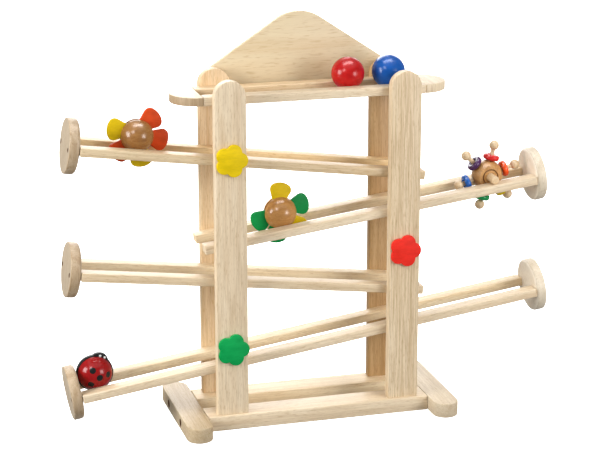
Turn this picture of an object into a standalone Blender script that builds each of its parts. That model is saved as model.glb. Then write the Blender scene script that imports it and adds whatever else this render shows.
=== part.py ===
"""Wooden marble run: four sloping rail tracks on a post frame, with balls and novelty rollers.

Sizes are in millimetres and are turned into metres when a mesh is made.
+X runs along the tracks, +Y points away from the viewer, +Z is up.
"""

import math

import bmesh
import bpy
from mathutils import Matrix

MM = 0.001

# Clearances
FIT = 0.3
PIN_CLEAR = 0.35
CUT_OVER = 1.0

# Track and top rails
RAIL_GAP = 31.0
RAIL_WIDTH = 18.0
RAIL_HEIGHT = 10.3
RAIL_EASE = 1.2

# Base rails and feet
BASE_HEIGHT = 18.0
BASE_HALF_LENGTH = 138.7
BASE_LEDGE = 5.0
BASE_EASE = 1.2
FOOT_WIDTH = 31.5
FOOT_LENGTH = 170.0
FOOT_EASE = 2.0

# Posts
POST_X = 107.5
POST_WIDTH = 38.0
POST_THICK = 12.0
POST_TOP = 426.8
POST_EASE = 1.0

# Top track
TOP_LEVEL = 406.8
TOP_HALF_LENGTH = 135.7
TOP_BLOCK_EASE = 1.2

# Gable panel
GABLE_THICK = 6.0
GABLE_BOTTOM = 396.0
GABLE_SIDE_Z = 419.0
GABLE_HALF_WIDTH = 120.0
GABLE_APEX = 498.8
GABLE_ROUND = 50.0
GABLE_EASE = 0.8

# Sloping tracks: height of the running surface at x = 0 and slope in degrees
UPPER_Z = 318.8
UPPER_SLOPE = -7.6
SECOND_Z = 245.6
SECOND_SLOPE = 7.6
THIRD_Z = 172.0
THIRD_SLOPE = -6.95
BOTTOM_Z = 96.9
BOTTOM_SLOPE = 8.26
UPPER_STOP_END = 283.5
SECOND_STOP_END = 285.0
THIRD_STOP_END = 286.3
TRACK_OPEN_END = 138.5
BOTTOM_LEFT_END = 291.1
BOTTOM_RIGHT_END = 289.6

# End discs
DISC_RADIUS = 33.0
DISC_THICK = 13.0
DISC_ROUND = 3.0

# Sunk screw holes
SCREW_BORE_RADIUS = 1.6
DISC_SINK = 4.0
DISC_SINK_RADIUS = 2.9
FOOT_SINK = 12.0
FOOT_SINK_RADIUS = 5.0

# Post flowers
FLOWER_LOBE_RADIUS = 9.5
FLOWER_LOBE_CENTRE = 10.5
FLOWER_THICK = 4.0
FLOWER_EASE = 0.8
YELLOW_FLOWER_Z = 333.0
GREEN_FLOWER_Z = 100.7
RED_FLOWER_Z = 206.9

# Balls and roller beads
BALL_RADIUS = 20.0
RED_BALL_X = 48.3
BLUE_BALL_X = 99.2

# Flower rollers
PETAL_THICK = 4.0
PETAL_ROOT_RADIUS = 5.0
PETAL_LOBE_REACH = 15.5
PETAL_TIP_REACH = 28.0
PETAL_TIP_RADIUS = 20.0
PETAL_SHOULDER_RADIUS = 7.5
PETAL_SHOULDER_SIDE = 5.7
PETAL_PIN_CIRCLE = 10.0
PETAL_PIN_RADIUS = 2.0
PETAL_PIN_SINK = 6.0
ORANGE_ROLLER_U = -212.8
GREEN_ROLLER_U = -34.8
ORANGE_PIN_START = 68.0
GREEN_PIN_START = 107.0
ORANGE_PETAL_ANGLES = (48.0, -12.0, -80.0, -141.0, -201.0)
GREEN_PETAL_ANGLES = (90.0, 20.0, -41.0, -101.0, -162.0)

# Ladybug roller
BUG_PLATE_THICK = 6.0
BUG_PLATE_RADIUS = 22.5
BUG_HEAD_ANGLE = 68.0
BUG_HEAD_CENTRE = 14.8
BUG_HEAD_RADIUS = 11.2
BUG_SWELL = 1.07
BUG_DOWEL_RADIUS = 4.0
BUG_DOWEL_SINK = 9.0

# Spiked wheel
HUB_RADIUS = 19.0
HUB_HALF_WIDTH = 13.0
HUB_GROOVE_RADIUS = 9.0
HUB_GROOVE_WIDTH = 1.4
HUB_GROOVE_DEPTH = 0.9
AXLE_RADIUS = 5.0
AXLE_HALF_LENGTH = 29.0
WHEEL_U = 231.9
PEG_COUNT = 6
PEG_START_ANGLE = 17.0
PEG_RADIUS = 2.7
PEG_ROOT = 10.5
PEG_HEAD_RADIUS = 6.0
PEG_HEAD_CENTRE = 38.0
RING_RADIUS = 10.0
RING_BORE_RADIUS = 3.5
RING_THICK = 7.0
RING_ROUND = 1.8
RING_TRAVEL = 5.0

# Facets
DISC_SEGMENTS = 28
BALL_SEGMENTS = 20
BALL_RINGS = 11
BEAD_SEGMENTS = 20
BEAD_RINGS = 5
HUB_SEGMENTS = 24
RING_SEGMENTS = 14
PEG_SEGMENTS = 10
PIN_SEGMENTS = 8
HOLE_SEGMENTS = 12
AXLE_SEGMENTS = 16
ARC_STEPS = 10
LOBE_STEPS = 6

# Places that follow from the sizes above
RAIL_IN = RAIL_GAP / 2
RAIL_OUT = RAIL_IN + RAIL_WIDTH
RAIL_MID = RAIL_IN + RAIL_WIDTH / 2
POST_IN = RAIL_OUT + FIT
POST_OUT = POST_IN + POST_THICK
BASE_OUT = POST_OUT + BASE_LEDGE
BASE_MID = (RAIL_IN + BASE_OUT) / 2
FOOT_IN = BASE_HALF_LENGTH + FIT
FOOT_MID = FOOT_IN + FOOT_WIDTH / 2
FOOT_OUT = FOOT_IN + FOOT_WIDTH
SLOT_HALF = PETAL_THICK / 2 + FIT
RING_LOW = HUB_RADIUS + FIT + RING_THICK / 2
RING_HIGH = RING_LOW + RING_TRAVEL


def clear_scene():
    """Remove every object that is already in the scene."""
    for obj in list(bpy.data.objects):
        bpy.data.objects.remove(obj, do_unlink=True)


def paint(name, colour, roughness, metallic=0.0):
    """Make one Principled material."""
    material = bpy.data.materials.new(name)
    material.use_nodes = True
    shader = material.node_tree.nodes["Principled BSDF"]
    shader.inputs["Base Color"].default_value = (*colour, 1.0)
    shader.inputs["Roughness"].default_value = roughness
    shader.inputs["Metallic"].default_value = metallic
    material.diffuse_color = (*colour, 1.0)
    return material


def to_mesh(name, bm):
    """Turn a millimetre bmesh into a mesh in metres, with its faces pointing out."""
    bmesh.ops.recalc_face_normals(bm, faces=bm.faces[:])
    if bm.calc_volume(signed=True) < 0.0:
        bmesh.ops.reverse_faces(bm, faces=bm.faces[:])
    bmesh.ops.scale(bm, vec=(MM, MM, MM), verts=bm.verts[:])
    mesh = bpy.data.meshes.new(name)
    bm.to_mesh(mesh)
    bm.free()
    return mesh


def carve(name, bm, cutter, operation='DIFFERENCE'):
    """Cut one bmesh out of another, or join them, with an exact Boolean and return the mesh."""
    body = bpy.data.objects.new(name + "_blank", to_mesh(name, bm))
    tool = bpy.data.objects.new(name + "_cutter", to_mesh(name + "_cutter", cutter))
    tool.hide_render = True
    tool.display_type = 'WIRE'
    for obj in (body, tool):
        bpy.context.scene.collection.objects.link(obj)
    boolean = body.modifiers.new("holes", 'BOOLEAN')
    boolean.operation = operation
    boolean.solver = 'EXACT'
    boolean.object = tool
    graph = bpy.context.evaluated_depsgraph_get()
    mesh = bpy.data.meshes.new_from_object(body.evaluated_get(graph))
    for obj in (body, tool):
        bpy.data.objects.remove(obj, do_unlink=True)
    return mesh


def add_part(name, shape, material, parent=None, at=(0.0, 0.0, 0.0), turn=0.0, smooth=False):
    """Add one named sub-part; turn is counter-clockwise as seen from the front."""
    mesh = shape if isinstance(shape, bpy.types.Mesh) else to_mesh(name, shape)
    mesh.name = name
    mesh.materials.clear()
    mesh.materials.append(material)
    for polygon in mesh.polygons:
        polygon.use_smooth = smooth
    obj = bpy.data.objects.new(name, mesh)
    bpy.context.scene.collection.objects.link(obj)
    obj.parent = parent
    obj.location = [value * MM for value in at]
    obj.rotation_euler = (0.0, -math.radians(turn), 0.0)
    return obj


def add_empty(name, at, turn=0.0, parent=None):
    """Add a frame that carries other parts."""
    empty = bpy.data.objects.new(name, None)
    bpy.context.scene.collection.objects.link(empty)
    empty.parent = parent
    empty.location = [value * MM for value in at]
    empty.rotation_euler = (0.0, -math.radians(turn), 0.0)
    return empty


def eased_box(x_span, y_span, z_span, ease):
    """A plank with rounded edges."""
    bm = bmesh.new()
    bmesh.ops.create_cube(bm, size=1.0)
    spans = (x_span, y_span, z_span)
    bmesh.ops.scale(bm, vec=[high - low for low, high in spans], verts=bm.verts[:])
    bmesh.ops.translate(bm, vec=[(low + high) / 2 for low, high in spans], verts=bm.verts[:])
    bmesh.ops.bevel(bm, geom=bm.edges[:], offset=ease, segments=2, profile=0.5, affect='EDGES')
    return bm


def board(outline, low, high, ease, upright):
    """A flat board cut to an outline; upright boards stand in the XZ plane."""
    bm = bmesh.new()
    if upright:
        verts = [bm.verts.new((x, low, z)) for x, z in outline]
        push = (0.0, high - low, 0.0)
    else:
        verts = [bm.verts.new((x, y, low)) for x, y in outline]
        push = (0.0, 0.0, high - low)
    face = bm.faces.new(verts)
    moved = bmesh.ops.extrude_face_region(bm, geom=[face], use_keep_orig=True)
    top = [item for item in moved["geom"] if isinstance(item, bmesh.types.BMVert)]
    bmesh.ops.translate(bm, vec=push, verts=top)
    bmesh.ops.recalc_face_normals(bm, faces=bm.faces[:])
    if ease > 0.0:
        caps = [item for item in bm.faces if len(item.verts) == len(outline)]
        rims = [edge for cap in caps for edge in cap.edges]
        bmesh.ops.bevel(bm, geom=rims, offset=ease, segments=1, profile=0.5, affect='EDGES')
    return bm


def turned(profile, segments, closed=False):
    """Spin (radius, height) points about Z; a closed profile makes a ring."""
    bm = bmesh.new()
    verts = [bm.verts.new((radius, 0.0, height)) for radius, height in profile]
    pairs = list(zip(verts, verts[1:]))
    if closed:
        pairs.append((verts[-1], verts[0]))
    edges = [bm.edges.new(pair) for pair in pairs]
    bmesh.ops.spin(bm, geom=verts + edges, cent=(0, 0, 0), axis=(0, 0, 1),
                   angle=math.tau, steps=segments, use_merge=True)
    bmesh.ops.remove_doubles(bm, verts=bm.verts[:], dist=0.001)
    return bm


def aim(bm, axis, at=(0.0, 0.0, 0.0)):
    """Turn a Z-axis shape to +X, -X, +Y or -Y, then move it."""
    turns = {
        '+X': Matrix.Rotation(math.pi / 2, 4, 'Y'),
        '-X': Matrix.Rotation(-math.pi / 2, 4, 'Y'),
        '+Y': Matrix.Rotation(-math.pi / 2, 4, 'X'),
        '-Y': Matrix.Rotation(math.pi / 2, 4, 'X'),
    }
    bm.transform(Matrix.Translation(at) @ turns[axis])
    return bm


def radial(bm, angle):
    """Turn a Z-axis shape so that it points out at an angle in the XZ plane."""
    bm.transform(Matrix.Rotation(math.pi / 2 - math.radians(angle), 4, 'Y'))
    return bm


def gather(shapes):
    """Join several separate shapes into one bmesh."""
    bm = bmesh.new()
    for shape in shapes:
        scratch = bpy.data.meshes.new("scratch")
        bmesh.ops.recalc_face_normals(shape, faces=shape.faces[:])
        shape.to_mesh(scratch)
        shape.free()
        bm.from_mesh(scratch)
        bpy.data.meshes.remove(scratch)
    return bm


def rod(radius, low, high, segments):
    """A plain cylinder along Z."""
    return turned([(0.0, high), (radius, high), (radius, low), (0.0, low)], segments)


def arc(radius, start, stop, steps, centre=(0.0, 0.0)):
    """Points on an arc; angles in degrees."""
    points = []
    for index in range(steps + 1):
        angle = math.radians(start + (stop - start) * index / steps)
        points.append((centre[0] + radius * math.cos(angle), centre[1] + radius * math.sin(angle)))
    return points


def lobe_reach(centre, radius, angle):
    """Distance from the middle to a lobe's edge, at an angle from the lobe's own line."""
    side = centre * math.sin(angle)
    return centre * math.cos(angle) + math.sqrt(radius * radius - side * side)


def seat_height(radius, swell=1.0):
    """Height of a rolling bead's middle above the rails that carry it; swell widens it across its axis."""
    reach = radius + RAIL_EASE + FIT
    side = RAIL_IN + RAIL_EASE
    return swell * math.sqrt(reach * reach - side * side) - RAIL_EASE


def screw_hole(top, sink, sink_radius, bottom):
    """The cutter for a sunk screw hole that goes right through along -Z."""
    high = top + CUT_OVER
    low = bottom - CUT_OVER
    return turned([(0.0, high), (sink_radius, high), (sink_radius, top - sink),
                   (SCREW_BORE_RADIUS, top - sink), (SCREW_BORE_RADIUS, low), (0.0, low)], HOLE_SEGMENTS)


def foot(side):
    """A stadium-shaped foot with two sunk screw holes in its outer edge."""
    radius = FOOT_WIDTH / 2
    straight = FOOT_LENGTH / 2 - radius
    middle = side * FOOT_MID
    outline = arc(radius, 0.0, 180.0, ARC_STEPS, (middle, straight))
    outline += arc(radius, 180.0, 360.0, ARC_STEPS, (middle, -straight))
    axis = '+X' if side > 0 else '-X'
    holes = []
    for y in (-BASE_MID, BASE_MID):
        hole = screw_hole(FOOT_OUT, FOOT_SINK, FOOT_SINK_RADIUS, FOOT_IN)
        holes.append(aim(hole, axis, (0.0, y, BASE_HEIGHT / 2)))
    blank = board(outline, 0.0, BASE_HEIGHT, FOOT_EASE, upright=False)
    return carve("foot", blank, gather(holes))


def base_rail(side):
    """A base rail between the feet."""
    span = sorted((side * RAIL_IN, side * BASE_OUT))
    return eased_box((-BASE_HALF_LENGTH, BASE_HALF_LENGTH), span, (0.0, BASE_HEIGHT), BASE_EASE)


def post(x, side):
    """An upright with a round top."""
    half = POST_WIDTH / 2
    outline = arc(half, 0.0, 180.0, ARC_STEPS, (x, POST_TOP - half))
    foot_z = BASE_HEIGHT + FIT
    outline += [(x - half, foot_z), (x + half, foot_z)]
    low, high = sorted((side * POST_IN, side * POST_OUT))
    return board(outline, low, high, POST_EASE, upright=True)


def top_block(side):
    """The half-round block that closes one end of the top track."""
    start = TOP_HALF_LENGTH + FIT
    outline = arc(RAIL_OUT, -90.0, 90.0, ARC_STEPS, (start, 0.0))
    outline = [(side * x, y) for x, y in outline]
    return board(outline, TOP_LEVEL - RAIL_HEIGHT, TOP_LEVEL, TOP_BLOCK_EASE, upright=False)


def gable():
    """A bare gable panel with a rounded top."""
    lean = math.atan2(GABLE_APEX - GABLE_SIDE_Z, GABLE_HALF_WIDTH)
    middle = GABLE_APEX - GABLE_ROUND / math.cos(lean)
    open_angle = math.degrees(lean)
    outline = arc(GABLE_ROUND, 90.0 - open_angle, 90.0 + open_angle, ARC_STEPS, (0.0, middle))
    outline += [(-GABLE_HALF_WIDTH, GABLE_SIDE_Z), (-GABLE_HALF_WIDTH, GABLE_BOTTOM)]
    outline += [(GABLE_HALF_WIDTH, GABLE_BOTTOM), (GABLE_HALF_WIDTH, GABLE_SIDE_Z)]
    back = POST_OUT + FIT
    return board(outline, back, back + GABLE_THICK, GABLE_EASE, upright=True)


def track_rail(side, left, right, left_disc, right_disc):
    """One rail in its track's frame; an end that carries a disc stops just short of it."""
    low = left + FIT if left_disc else left
    high = right - FIT if right_disc else right
    span = sorted((side * RAIL_IN, side * RAIL_OUT))
    return eased_box((low, high), span, (-RAIL_HEIGHT, 0.0), RAIL_EASE)


def end_disc(inner, axis):
    """A round stop on a track's end, with a sunk screw hole over each rail."""
    outer = inner + DISC_THICK
    rim = DISC_RADIUS - DISC_ROUND
    corner = DISC_ROUND * (1.0 - math.sqrt(0.5))
    profile = [(0.0, outer), (rim, outer), (DISC_RADIUS - corner, outer - corner),
               (DISC_RADIUS, outer - DISC_ROUND), (DISC_RADIUS, inner + DISC_ROUND),
               (DISC_RADIUS - corner, inner + corner), (rim, inner), (0.0, inner)]
    place = (0.0, 0.0, -RAIL_HEIGHT / 2)
    blank = aim(turned(profile, DISC_SEGMENTS), axis, place)
    holes = []
    for y in (-RAIL_MID, RAIL_MID):
        hole = screw_hole(outer, DISC_SINK, DISC_SINK_RADIUS, inner)
        holes.append(aim(hole, axis, (0.0, y, -RAIL_HEIGHT / 2)))
    return carve("end_disc", blank, gather(holes))


def post_flower(x, z):
    """A flat five-lobed flower on a front post."""
    outline = []
    for lobe in range(5):
        for step in range(LOBE_STEPS):
            angle = math.radians(72.0 * step / LOBE_STEPS - 36.0)
            reach = lobe_reach(FLOWER_LOBE_CENTRE, FLOWER_LOBE_RADIUS, angle)
            turn = angle + math.radians(72.0 * lobe)
            outline.append((x + reach * math.cos(turn), z + reach * math.sin(turn)))
    back = -POST_OUT - FIT
    return board(outline, back - FLOWER_THICK, back, FLOWER_EASE, upright=True)


def ball():
    """A whole ball."""
    bm = bmesh.new()
    bmesh.ops.create_uvsphere(bm, u_segments=BALL_SEGMENTS, v_segments=BALL_RINGS, radius=BALL_RADIUS)
    return bm


def bead_half(side, face, tool, operation, swell=1.0):
    """Half of a bead with a flat inner face, cut by sockets or joined to pins."""
    start = math.degrees(math.asin(face / BALL_RADIUS))
    profile = [(0.0, BALL_RADIUS)]
    profile += arc(BALL_RADIUS, 90.0, start, BEAD_RINGS)[1:]
    profile += [(0.0, face)]
    profile = [(radius * swell, height) for radius, height in profile]
    axis = '+Y' if side > 0 else '-Y'
    return carve("bead_half", aim(turned(profile, BEAD_SEGMENTS), axis), tool, operation)


def pin_places(start):
    """Where a flower roller's five petal pins stand, in its own XZ plane."""
    places = []
    for index in range(5):
        angle = math.radians(start - 72.0 * index)
        places.append((PETAL_PIN_CIRCLE * math.cos(angle), PETAL_PIN_CIRCLE * math.sin(angle)))
    return places


def pin_rods(start, radius, low, high):
    """Five rods along Y on the pin circle."""
    rods = []
    for x, z in pin_places(start):
        rods.append(aim(rod(radius, low, high, PIN_SEGMENTS), '+Y', (x, 0.0, z)))
    return gather(rods)


def petal():
    """A broad petal with round shoulders that hangs on its pin and points along +X."""
    side = PETAL_SHOULDER_SIDE
    inside = PETAL_TIP_RADIUS - PETAL_SHOULDER_RADIUS
    tip = PETAL_TIP_REACH - PETAL_TIP_RADIUS
    shoulder = tip + math.sqrt(inside * inside - side * side)
    open_angle = math.degrees(math.asin(side / inside))
    taper = math.acos((PETAL_ROOT_RADIUS - PETAL_SHOULDER_RADIUS) / math.hypot(shoulder, side))
    flank = math.degrees(math.atan2(side, shoulder) + taper)
    outline = arc(PETAL_TIP_RADIUS, -open_angle, open_angle, LOBE_STEPS, (tip, 0.0))
    outline += arc(PETAL_SHOULDER_RADIUS, open_angle, flank, LOBE_STEPS, (shoulder, side))[1:]
    outline += arc(PETAL_ROOT_RADIUS, flank, 360.0 - flank, LOBE_STEPS)
    outline += arc(PETAL_SHOULDER_RADIUS, -flank, -open_angle, LOBE_STEPS, (shoulder, -side))[:-1]
    blank = board(outline, -PETAL_THICK / 2, PETAL_THICK / 2, 0.0, upright=True)
    reach = PETAL_THICK / 2 + CUT_OVER
    hole = aim(rod(PETAL_PIN_RADIUS + PIN_CLEAR, -reach, reach, PIN_SEGMENTS), '+Y')
    return carve("petal", blank, hole)


def petal_turn(pin_angle, lobe_angle):
    """The petal's own angle that puts its lobe at an angle seen from the roller's middle."""
    offset = math.radians(pin_angle - lobe_angle)
    return lobe_angle - math.degrees(math.asin(PETAL_PIN_CIRCLE * math.sin(offset) / PETAL_LOBE_REACH))


def add_flower_roller(name, track, slope, u, pin_start, lobe_angles, bead, colours):
    """A split bead with five loose petals on the rear half's pins."""
    middle = add_empty(name, (u, 0.0, seat_height(BALL_RADIUS)), -slope, track)
    sink = SLOT_HALF + PETAL_PIN_SINK
    sockets = pin_rods(pin_start, PETAL_PIN_RADIUS + PIN_CLEAR, -sink - PIN_CLEAR, 0.0)
    front = bead_half(-1, SLOT_HALF, sockets, 'DIFFERENCE')
    add_part(name + "_front_half", front, bead, middle, smooth=True)
    pins = pin_rods(pin_start, PETAL_PIN_RADIUS, -sink, sink)
    rear = bead_half(1, SLOT_HALF, pins, 'UNION')
    add_part(name + "_rear_half", rear, bead, middle, smooth=True)
    for index, place in enumerate(pin_places(pin_start)):
        turn = petal_turn(pin_start - 72.0 * index, lobe_angles[index])
        at = (place[0], 0.0, place[1])
        add_part(name + "_petal_" + str(index + 1), petal(), colours[index], middle, at, turn)


def bug_plate(face):
    """The ladybug's middle plate with its head and the dowel that carries both halves."""
    steps = 8 * LOBE_STEPS
    outline = []
    for step in range(steps):
        turn = math.tau * step / steps
        lean = turn - math.radians(BUG_HEAD_ANGLE)
        lean = math.atan2(math.sin(lean), math.cos(lean))
        reach = BUG_PLATE_RADIUS
        if abs(lean) < math.asin(BUG_HEAD_RADIUS / BUG_HEAD_CENTRE):
            reach = max(reach, lobe_reach(BUG_HEAD_CENTRE, BUG_HEAD_RADIUS, lean))
        outline.append((reach * math.cos(turn), reach * math.sin(turn)))
    blank = board(outline, -BUG_PLATE_THICK / 2, BUG_PLATE_THICK / 2, FLOWER_EASE, upright=True)
    reach = face + BUG_DOWEL_SINK - FIT
    dowel = aim(rod(BUG_DOWEL_RADIUS, -reach, reach, PIN_SEGMENTS), '+Y')
    return carve("bug_plate", blank, dowel, 'UNION')


def hub():
    """The spiked wheel's turned hub, with an axle bore and its glued-in pegs."""
    bore = AXLE_RADIUS + FIT
    groove_in = HUB_GROOVE_RADIUS - HUB_GROOVE_WIDTH / 2
    groove_out = HUB_GROOVE_RADIUS + HUB_GROOVE_WIDTH / 2
    floor = HUB_HALF_WIDTH - HUB_GROOVE_DEPTH
    face = [(bore, HUB_HALF_WIDTH), (groove_in, HUB_HALF_WIDTH), (HUB_GROOVE_RADIUS, floor),
            (groove_out, HUB_HALF_WIDTH)]
    start = math.degrees(math.asin(HUB_HALF_WIDTH / HUB_RADIUS))
    profile = face + arc(HUB_RADIUS, start, -start, LOBE_STEPS)
    profile += [(radius, -height) for radius, height in reversed(face)]
    blank = aim(turned(profile, HUB_SEGMENTS, closed=True), '+Y')
    pegs = gather([radial(peg(), peg_angle(index)) for index in range(PEG_COUNT)])
    return carve("hub", blank, pegs, 'UNION')


def peg_angle(index):
    """The angle of one peg."""
    return PEG_START_ANGLE + 360.0 * index / PEG_COUNT


def peg():
    """A peg with a ball head, along +Z."""
    neck = math.degrees(math.acos(PEG_RADIUS / PEG_HEAD_RADIUS))
    head = arc(PEG_HEAD_RADIUS, 90.0, -neck, LOBE_STEPS, (0.0, PEG_HEAD_CENTRE))
    head[0] = (0.0, PEG_HEAD_CENTRE + PEG_HEAD_RADIUS)
    return turned(head + [(PEG_RADIUS, PEG_ROOT), (0.0, PEG_ROOT)], PEG_SEGMENTS)


def ring():
    """A thick painted ring about Z."""
    half = RING_THICK / 2
    profile = [(RING_BORE_RADIUS, -half), (RING_RADIUS - RING_ROUND, -half),
               (RING_RADIUS, -half + RING_ROUND), (RING_RADIUS, half - RING_ROUND),
               (RING_RADIUS - RING_ROUND, half), (RING_BORE_RADIUS, half)]
    return turned(profile, RING_SEGMENTS, closed=True)


def build():
    """Build the whole marble run."""
    clear_scene()
    pale = paint("pale_wood", (0.73, 0.57, 0.38), 0.55)
    ply = paint("plywood", (0.77, 0.63, 0.42), 0.6)
    bead = paint("lacquered_bead_wood", (0.47, 0.26, 0.09), 0.3)
    turned_wood = paint("turned_wood", (0.58, 0.34, 0.13), 0.45)
    red = paint("red_paint", (0.6, 0.02, 0.015), 0.3)
    blue = paint("blue_paint", (0.01, 0.09, 0.42), 0.3)
    yellow = paint("yellow_paint", (0.72, 0.47, 0.01), 0.45)
    orange = paint("orange_paint", (0.68, 0.09, 0.01), 0.45)
    green = paint("green_paint", (0.005, 0.25, 0.06), 0.45)
    purple = paint("purple_paint", (0.07, 0.02, 0.1), 0.45)
    black = paint("black_paint", (0.01, 0.01, 0.01), 0.4)

    add_part("left_foot", foot(-1), pale)
    add_part("right_foot", foot(1), pale)
    add_part("front_base_rail", base_rail(-1), pale)
    add_part("rear_base_rail", base_rail(1), pale)
    add_part("front_left_post", post(-POST_X, -1), pale)
    add_part("front_right_post", post(POST_X, -1), pale)
    add_part("rear_left_post", post(-POST_X, 1), pale)
    add_part("rear_right_post", post(POST_X, 1), pale)

    for side, word in ((-1, "front"), (1, "rear")):
        span = sorted((side * RAIL_IN, side * RAIL_OUT))
        rail = eased_box((-TOP_HALF_LENGTH, TOP_HALF_LENGTH), span,
                         (TOP_LEVEL - RAIL_HEIGHT, TOP_LEVEL), RAIL_EASE)
        add_part("top_" + word + "_rail", rail, pale)
    add_part("top_left_end_block", top_block(-1), pale)
    add_part("top_right_end_block", top_block(1), pale)
    add_part("gable_panel", gable(), ply)

    tracks = {}
    layout = (
        ("upper", UPPER_Z, UPPER_SLOPE, -UPPER_STOP_END, TRACK_OPEN_END, True, False),
        ("second", SECOND_Z, SECOND_SLOPE, -TRACK_OPEN_END, SECOND_STOP_END, False, True),
        ("third", THIRD_Z, THIRD_SLOPE, -THIRD_STOP_END, TRACK_OPEN_END, True, False),
        ("bottom", BOTTOM_Z, BOTTOM_SLOPE, -BOTTOM_LEFT_END, BOTTOM_RIGHT_END, True, True),
    )
    for word, z, slope, left, right, left_disc, right_disc in layout:
        track = add_empty(word + "_track", (0.0, 0.0, z), slope)
        tracks[word] = track
        for side, place in ((-1, "front"), (1, "rear")):
            rail = track_rail(side, left, right, left_disc, right_disc)
            add_part(word + "_track_" + place + "_rail", rail, pale, track)
        if left_disc:
            add_part(word + "_track_left_disc", end_disc(-left, '-X'), pale, track, smooth=True)
        if right_disc:
            add_part(word + "_track_right_disc", end_disc(right, '+X'), pale, track, smooth=True)

    add_part("yellow_post_flower", post_flower(-POST_X, YELLOW_FLOWER_Z), yellow)
    add_part("green_post_flower", post_flower(-POST_X, GREEN_FLOWER_Z), green)
    add_part("red_post_flower", post_flower(POST_X, RED_FLOWER_Z), red)

    ball_z = TOP_LEVEL + seat_height(BALL_RADIUS)
    add_part("red_ball", ball(), red, at=(RED_BALL_X, 0.0, ball_z), smooth=True)
    add_part("blue_ball", ball(), blue, at=(BLUE_BALL_X, 0.0, ball_z), smooth=True)

    add_flower_roller("orange_flower", tracks["upper"], UPPER_SLOPE, ORANGE_ROLLER_U, ORANGE_PIN_START,
                      ORANGE_PETAL_ANGLES, bead, (orange, orange, yellow, orange, yellow))
    add_flower_roller("green_flower", tracks["second"], SECOND_SLOPE, GREEN_ROLLER_U, GREEN_PIN_START,
                      GREEN_PETAL_ANGLES, bead, (yellow, green, yellow, green, green))

    bug_u = -BOTTOM_LEFT_END + BUG_PLATE_RADIUS + FIT
    bug_w = seat_height(BALL_RADIUS, BUG_SWELL)
    bug = add_empty("ladybug", (bug_u, 0.0, bug_w), -BOTTOM_SLOPE, tracks["bottom"])
    face = BUG_PLATE_THICK / 2 + FIT
    add_part("ladybug_plate", bug_plate(face), black, bug)
    for side, word in ((-1, "front"), (1, "rear")):
        reach = face + BUG_DOWEL_SINK
        socket = aim(rod(BUG_DOWEL_RADIUS + PIN_CLEAR, -reach, reach, PIN_SEGMENTS), '+Y')
        half = bead_half(side, face, socket, 'DIFFERENCE', BUG_SWELL)
        add_part("ladybug_" + word + "_half", half, red, bug, smooth=True)

    wheel = add_empty("spiked_wheel", (WHEEL_U, 0.0, AXLE_RADIUS + FIT), -SECOND_SLOPE, tracks["second"])
    add_part("wheel_hub", hub(), turned_wood, wheel, smooth=True)
    axle = aim(rod(AXLE_RADIUS, -AXLE_HALF_LENGTH, AXLE_HALF_LENGTH, AXLE_SEGMENTS), '+Y')
    add_part("wheel_axle", axle, turned_wood, wheel, smooth=True)
    rings = (("orange", orange, RING_LOW), ("red", red, RING_LOW), ("purple", purple, RING_LOW),
             ("blue", blue, RING_HIGH), ("green", green, RING_HIGH), ("yellow", yellow, RING_HIGH))
    for index, (word, colour, height) in enumerate(rings):
        angle = math.radians(peg_angle(index))
        at = (height * math.cos(angle), 0.0, height * math.sin(angle))
        shape = radial(ring(), peg_angle(index))
        add_part(word + "_ring", shape, colour, wheel, at, smooth=True)


build()
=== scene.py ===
# %% [markdown]
# This lesson dresses a packed wooden marble run for a studio picture.
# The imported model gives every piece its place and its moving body, so nothing has to be fitted by eye.
# Its solids are faceted, which is right for measuring and simulating but too plain for a close look.
# Each cell below remodels one kind of piece with rounder edges and gives it a finish.
# The piece then rides on its body, so it moves when a joint moves.

# %% Load the frame
import itertools
import math

import bpy
from mathutils import Matrix, Vector


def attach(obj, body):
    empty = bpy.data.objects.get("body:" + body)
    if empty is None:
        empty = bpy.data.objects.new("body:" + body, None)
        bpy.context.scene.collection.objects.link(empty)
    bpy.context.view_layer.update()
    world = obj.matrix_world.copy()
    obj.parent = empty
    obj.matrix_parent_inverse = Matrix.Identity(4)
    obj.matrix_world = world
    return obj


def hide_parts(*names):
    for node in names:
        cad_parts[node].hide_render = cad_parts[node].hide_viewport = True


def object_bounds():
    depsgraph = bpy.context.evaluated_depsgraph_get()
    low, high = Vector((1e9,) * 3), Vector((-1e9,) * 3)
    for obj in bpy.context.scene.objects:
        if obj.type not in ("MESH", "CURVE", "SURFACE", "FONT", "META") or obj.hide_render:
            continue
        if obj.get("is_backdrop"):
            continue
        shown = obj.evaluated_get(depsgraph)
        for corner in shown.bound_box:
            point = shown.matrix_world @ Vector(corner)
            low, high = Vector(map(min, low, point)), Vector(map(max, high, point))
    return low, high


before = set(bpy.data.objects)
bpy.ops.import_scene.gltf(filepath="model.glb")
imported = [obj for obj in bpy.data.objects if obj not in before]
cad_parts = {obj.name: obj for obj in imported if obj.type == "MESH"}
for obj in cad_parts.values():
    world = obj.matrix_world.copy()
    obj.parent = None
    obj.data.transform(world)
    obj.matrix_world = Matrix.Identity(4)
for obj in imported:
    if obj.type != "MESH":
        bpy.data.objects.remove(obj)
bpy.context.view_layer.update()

# %% [markdown]
# The pieces are modelled in millimetres, because a woodworker's drawing has millimetres on it.
# A finished piece is then shrunk to metres and moved into its place, and its object stays at the origin.
# These sizes repeat the ones that the solids were made from.
# The rails' rounding is finer here, but the balls are seated on the solids' rounding, so both are kept.

# %% Sizes of the frame
MM = 0.001
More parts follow.
